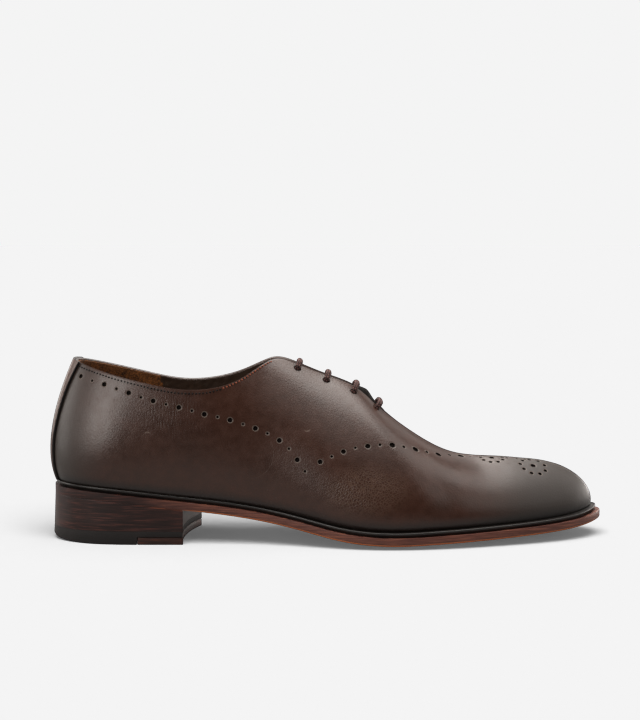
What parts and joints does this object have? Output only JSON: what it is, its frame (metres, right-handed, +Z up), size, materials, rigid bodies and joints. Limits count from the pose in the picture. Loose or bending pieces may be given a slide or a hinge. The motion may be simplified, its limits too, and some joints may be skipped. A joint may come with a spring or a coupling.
{
  "type": "dress shoe",
  "caption": "Men's brown leather oxford cut in one piece, with punched decoration, straight lacing, welted leather sole and stacked heel; a right shoe.",
  "frame": {"origin": "on the floor, under the middle of the shoe's bounding box", "axes": "+X from heel to toe, +Y to the inner side of the foot, +Z up"},
  "size_m": [0.3049, 0.1034, 0.0988],
  "materials": {
    "upper_leather": "satin",
    "tongue_leather": "matte",
    "insole_leather": "matte",
    "welt_leather": "satin",
    "sole_leather": "satin",
    "heel_leather": "satin",
    "heel_rubber": "matte",
    "tip_leather": "satin",
    "lace_cotton": "matte"
  },
  "bodies": {
    "root": {"upper": "upper_leather", "back_strip": "upper_leather", "tongue": "tongue_leather", "insole": "insole_leather", "welt": "welt_leather", "outsole": "sole_leather", "heel_lift_1": "heel_leather", "heel_lift_2": "heel_leather", "heel_lift_3": "heel_leather", "heel_rubber": "heel_rubber", "heel_tip": "tip_leather", "lace_bar_1": "lace_cotton", "lace_bar_2": "lace_cotton", "lace_bar_3": "lace_cotton", "lace_bar_4": "lace_cotton"}
  },
  "joints": []
}
